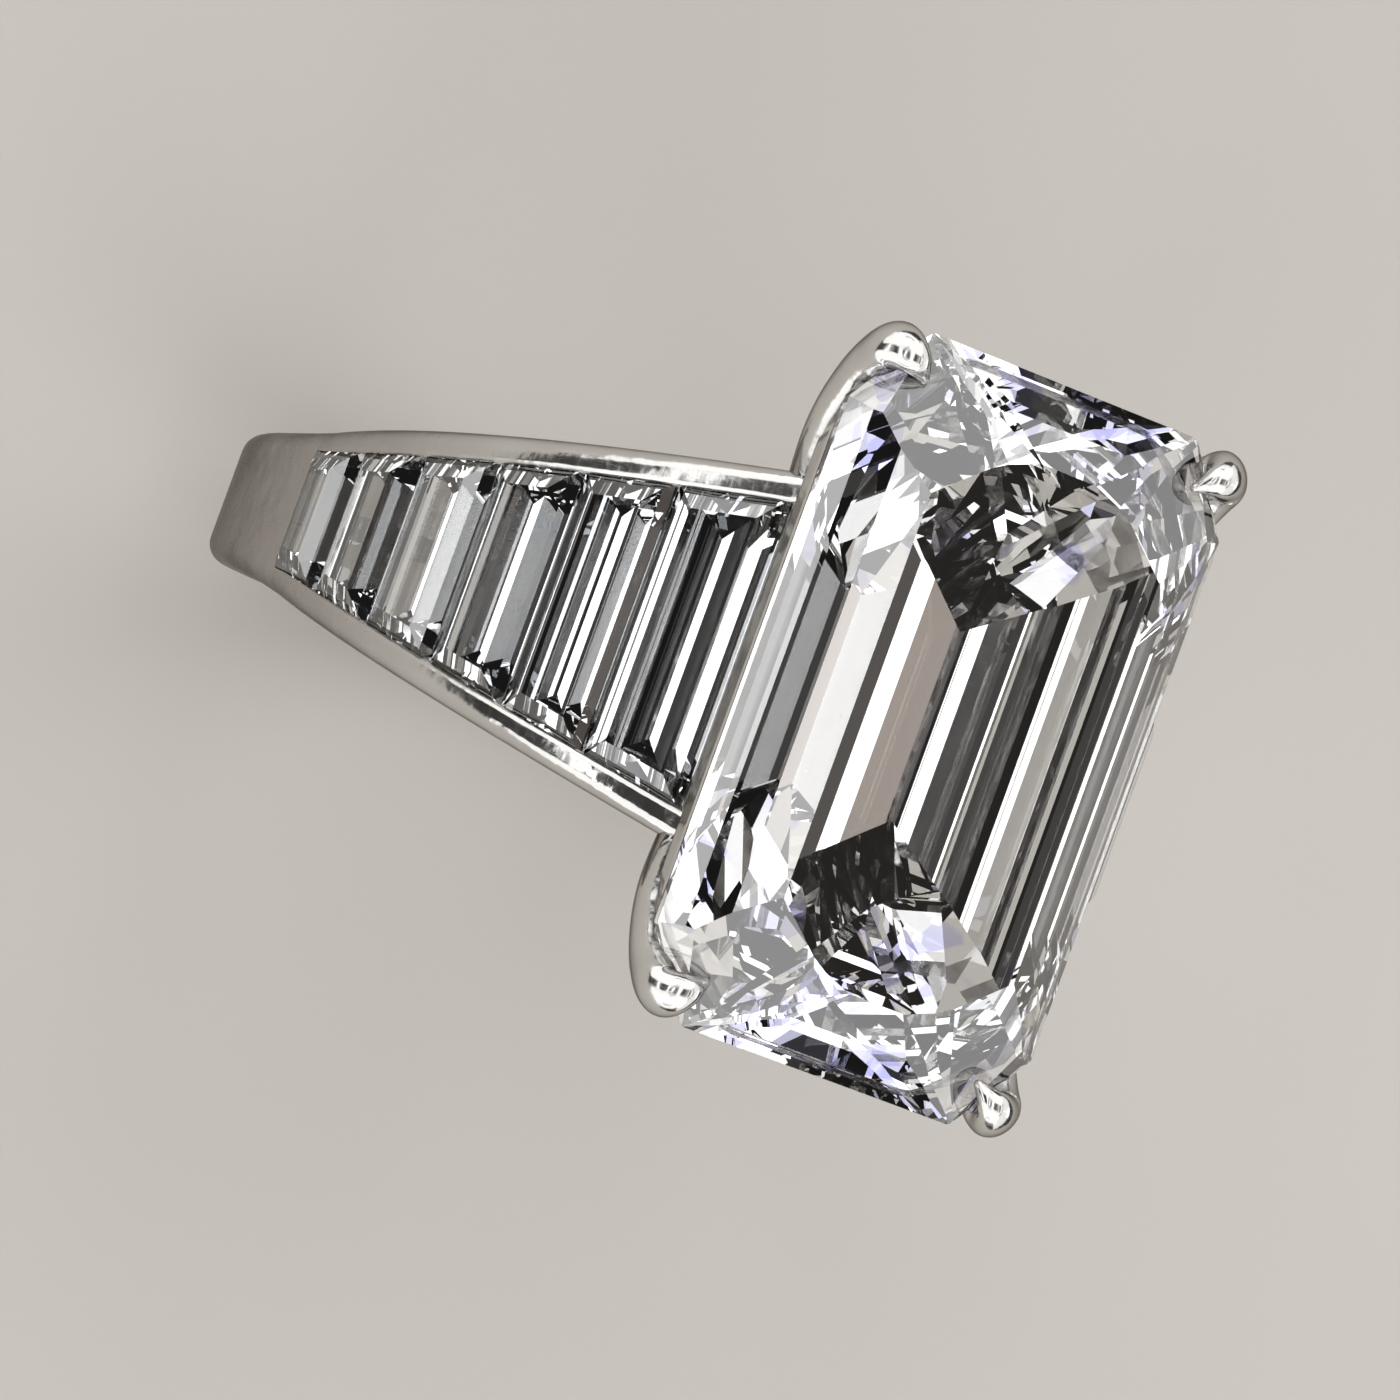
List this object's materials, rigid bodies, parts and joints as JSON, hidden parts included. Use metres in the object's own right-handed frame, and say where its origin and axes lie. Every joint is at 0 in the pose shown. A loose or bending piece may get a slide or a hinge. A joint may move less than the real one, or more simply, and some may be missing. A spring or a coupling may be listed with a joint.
{
  "type": "engagement ring",
  "caption": "Platinum engagement ring: a long cut-cornered diamond in a four-claw head, with graduated baguette diamonds channel-set along tapering shoulders.",
  "frame": {"origin": "centre of the finger hole, midway along its length", "axes": "+Z from the finger hole to the middle of the head, +Y along the finger, +X across it"},
  "size_m": [0.0192, 0.0144, 0.0237],
  "materials": {
    "platinum_satin": "fine satin, polished by wear",
    "platinum_polished": "high polish",
    "diamond_centre": "polished facets, near colourless",
    "diamond_baguette": "polished step facets, near colourless"
  },
  "bodies": {
    "root": {"shank": "platinum_satin", "channel_floor_left": "platinum_satin", "channel_floor_right": "platinum_satin", "head_base": "platinum_satin", "channel_wall_left_front": "platinum_polished", "channel_wall_left_back": "platinum_polished", "channel_bars_left": "platinum_polished", "channel_end_plate_left": "platinum_polished", "baguette_left_1": "diamond_baguette", "baguette_left_2": "diamond_baguette", "baguette_left_3": "diamond_baguette", "baguette_left_4": "diamond_baguette", "baguette_left_5": "diamond_baguette", "baguette_left_6": "diamond_baguette", "channel_wall_right_front": "platinum_polished", "channel_wall_right_back": "platinum_polished", "channel_bars_right": "platinum_polished", "channel_end_plate_right": "platinum_polished", "baguette_right_1": "diamond_baguette", "baguette_right_2": "diamond_baguette", "baguette_right_3": "diamond_baguette", "baguette_right_4": "diamond_baguette", "baguette_right_5": "diamond_baguette", "baguette_right_6": "diamond_baguette", "claw_front_left": "platinum_polished", "claw_front_right": "platinum_polished", "claw_back_left": "platinum_polished", "claw_back_right": "platinum_polished", "gallery_upper": "platinum_polished", "gallery_lower": "platinum_polished", "centre_diamond": "diamond_centre"}
  },
  "joints": []
}
